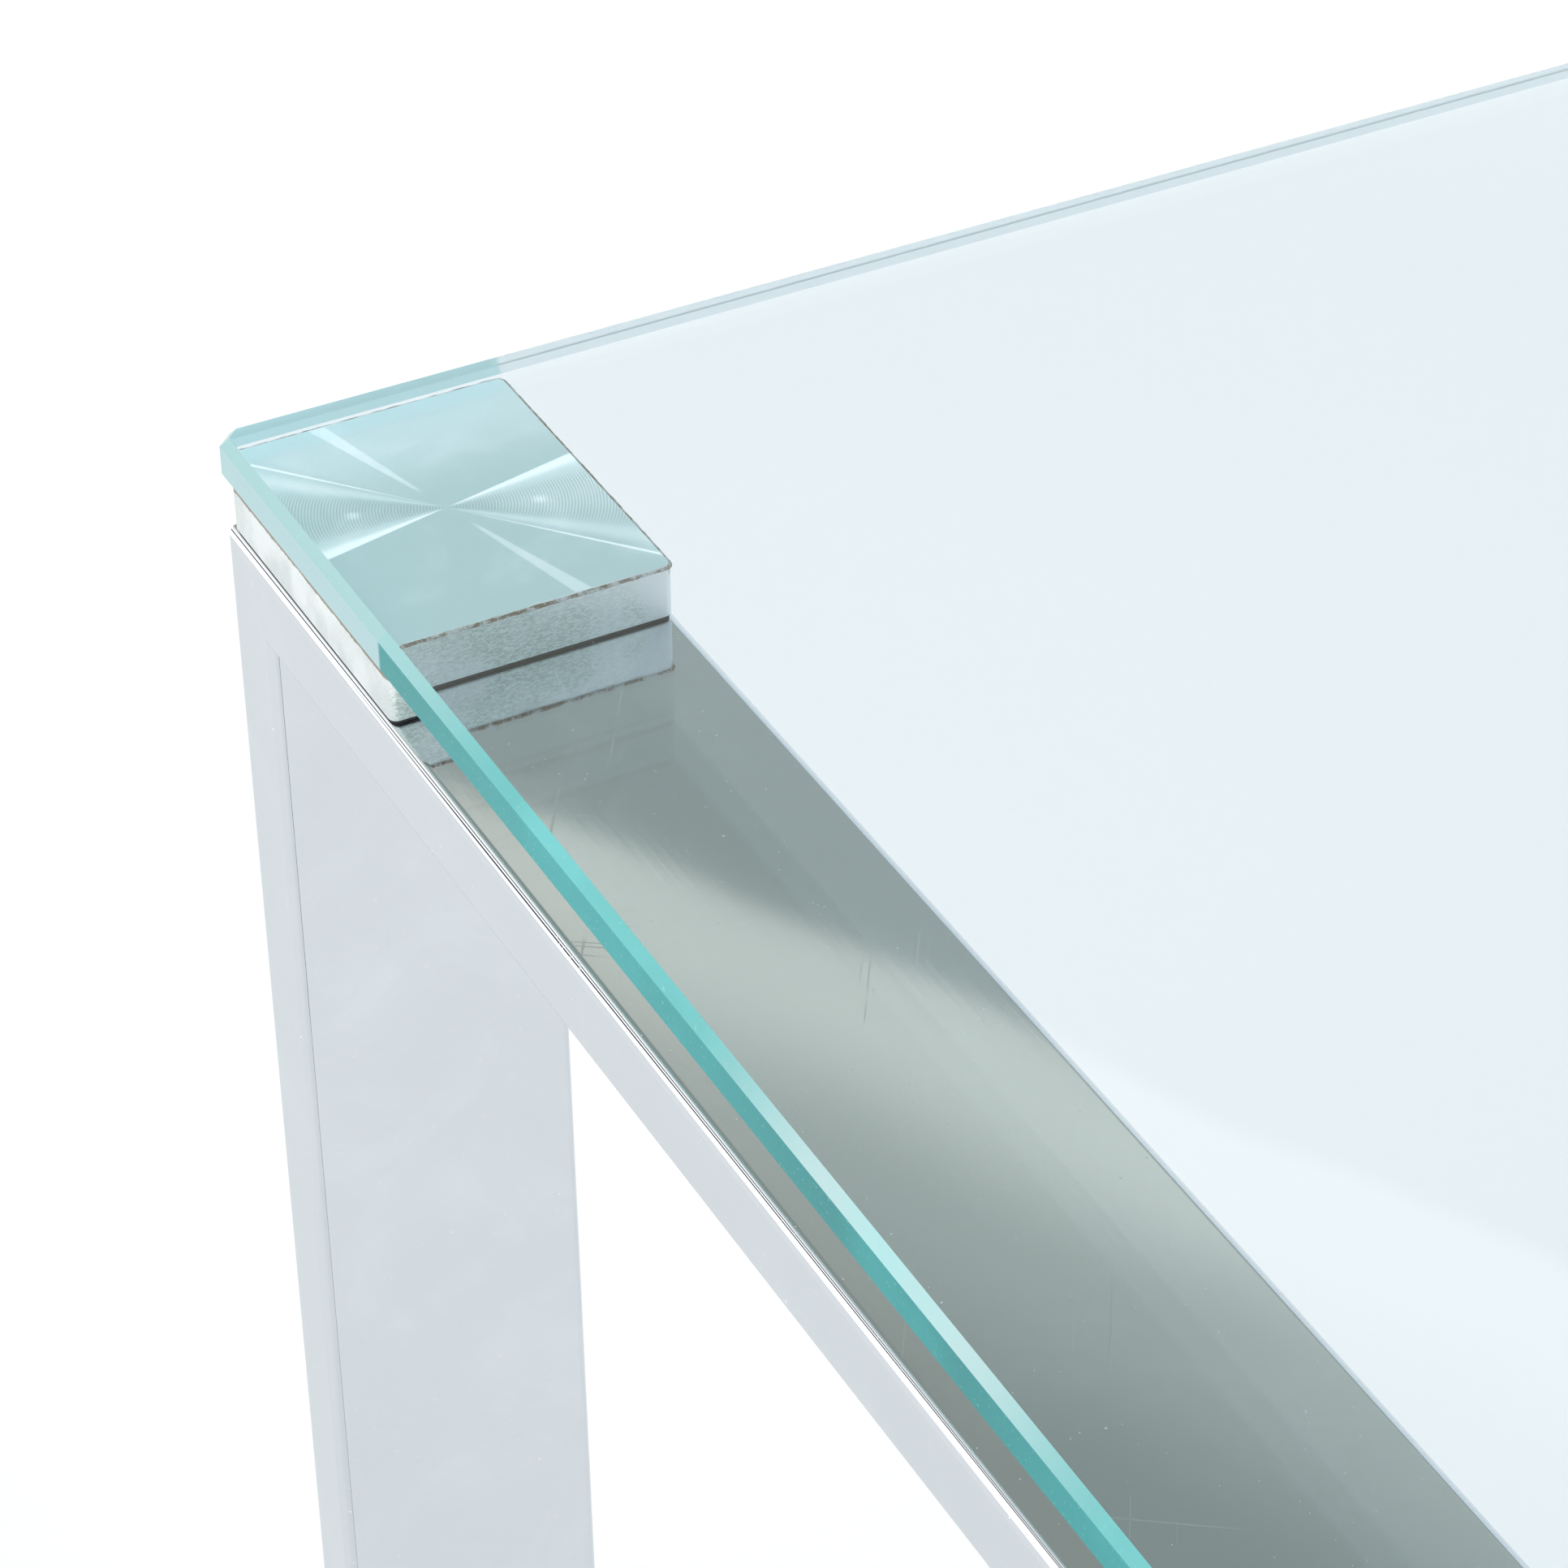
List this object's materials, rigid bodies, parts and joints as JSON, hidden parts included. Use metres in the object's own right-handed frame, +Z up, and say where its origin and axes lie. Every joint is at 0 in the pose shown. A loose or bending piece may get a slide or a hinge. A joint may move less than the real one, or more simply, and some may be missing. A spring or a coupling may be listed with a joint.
{
  "type": "console table",
  "caption": "Long narrow table with a clear rectangular glass top on polished inverted-U end frames, raised on metal spacer blocks, with levelling feet.",
  "frame": {"origin": "on the floor, at the middle of the table's footprint", "axes": "+X along the table's length, +Y along its depth towards the rear, +Z up"},
  "size_m": [1.2, 0.45, 0.76],
  "materials": {
    "clear_glass": "clear toughened glass with polished flat edges and a fine bevel, blue-green at the edges",
    "polished_steel": "mirror-polished stainless steel tube",
    "turned_aluminium": "bare aluminium, lathe-turned rings on top and linished sides",
    "black_pad": "thin matt black sheet",
    "grey_plastic": "moulded matt plastic",
    "zinc_steel": "zinc-plated steel",
    "foot_plastic": "moulded matt plastic"
  },
  "bodies": {
    "table": {"glass_top": "clear_glass", "top_rail_left": "polished_steel", "top_rail_right": "polished_steel", "leg_rear_left": "polished_steel", "spacer_block_rear_left": "turned_aluminium", "spacer_pad_rear_left": "black_pad", "leg_plug_rear_left": "grey_plastic", "spacer_bolt_rear_left_outer": "zinc_steel", "spacer_washer_rear_left_outer": "zinc_steel", "spacer_bolt_rear_left_inner": "zinc_steel", "spacer_washer_rear_left_inner": "zinc_steel", "leg_rear_right": "polished_steel", "spacer_block_rear_right": "turned_aluminium", "spacer_pad_rear_right": "black_pad", "leg_plug_rear_right": "grey_plastic", "spacer_bolt_rear_right_outer": "zinc_steel", "spacer_washer_rear_right_outer": "zinc_steel", "spacer_bolt_rear_right_inner": "zinc_steel", "spacer_washer_rear_right_inner": "zinc_steel", "leg_front_left": "polished_steel", "spacer_block_front_left": "turned_aluminium", "spacer_pad_front_left": "black_pad", "leg_plug_front_left": "grey_plastic", "spacer_bolt_front_left_outer": "zinc_steel", "spacer_washer_front_left_outer": "zinc_steel", "spacer_bolt_front_left_inner": "zinc_steel", "spacer_washer_front_left_inner": "zinc_steel", "leg_front_right": "polished_steel", "spacer_block_front_right": "turned_aluminium", "spacer_pad_front_right": "black_pad", "leg_plug_front_right": "grey_plastic", "spacer_bolt_front_right_outer": "zinc_steel", "spacer_washer_front_right_outer": "zinc_steel", "spacer_bolt_front_right_inner": "zinc_steel", "spacer_washer_front_right_inner": "zinc_steel"},
    "foot_rear_left": {"levelling_foot_rear_left": "foot_plastic"},
    "stud_rear_left": {"levelling_stud_rear_left": "zinc_steel"},
    "foot_rear_right": {"levelling_foot_rear_right": "foot_plastic"},
    "stud_rear_right": {"levelling_stud_rear_right": "zinc_steel"},
    "foot_front_left": {"levelling_foot_front_left": "foot_plastic"},
    "stud_front_left": {"levelling_stud_front_left": "zinc_steel"},
    "foot_front_right": {"levelling_foot_front_right": "foot_plastic"},
    "stud_front_right": {"levelling_stud_front_right": "zinc_steel"}
  },
  "joints": [
    {"name": "foot_lift_rear_left", "type": "slide", "parent": "table", "child": "foot_rear_left", "axis": [0, 0, -1], "range_m": [0, 0.01]},
    {"name": "stud_turn_rear_left", "type": "hinge", "parent": "foot_rear_left", "child": "stud_rear_left", "pos_m": [-0.5745, 0.2165, 0.02], "axis": [0, 0, -1], "range_deg": [0, 3600]},
    {"name": "foot_lift_rear_right", "type": "slide", "parent": "table", "child": "foot_rear_right", "axis": [0, 0, -1], "range_m": [0, 0.01]},
    {"name": "stud_turn_rear_right", "type": "hinge", "parent": "foot_rear_right", "child": "stud_rear_right", "pos_m": [0.5745, 0.2165, 0.02], "axis": [0, 0, -1], "range_deg": [0, 3600]},
    {"name": "foot_lift_front_left", "type": "slide", "parent": "table", "child": "foot_front_left", "axis": [0, 0, -1], "range_m": [0, 0.01]},
    {"name": "stud_turn_front_left", "type": "hinge", "parent": "foot_front_left", "child": "stud_front_left", "pos_m": [-0.5745, -0.2165, 0.02], "axis": [0, 0, -1], "range_deg": [0, 3600]},
    {"name": "foot_lift_front_right", "type": "slide", "parent": "table", "child": "foot_front_right", "axis": [0, 0, -1], "range_m": [0, 0.01]},
    {"name": "stud_turn_front_right", "type": "hinge", "parent": "foot_front_right", "child": "stud_front_right", "pos_m": [0.5745, -0.2165, 0.02], "axis": [0, 0, -1], "range_deg": [0, 3600]}
  ],
  "couplings": [
    {"joint": "stud_turn_rear_left", "follows": "foot_lift_rear_left", "rad_per_m": 6283.2},
    {"joint": "stud_turn_rear_right", "follows": "foot_lift_rear_right", "rad_per_m": 6283.2},
    {"joint": "stud_turn_front_left", "follows": "foot_lift_front_left", "rad_per_m": 6283.2},
    {"joint": "stud_turn_front_right", "follows": "foot_lift_front_right", "rad_per_m": 6283.2}
  ]
}
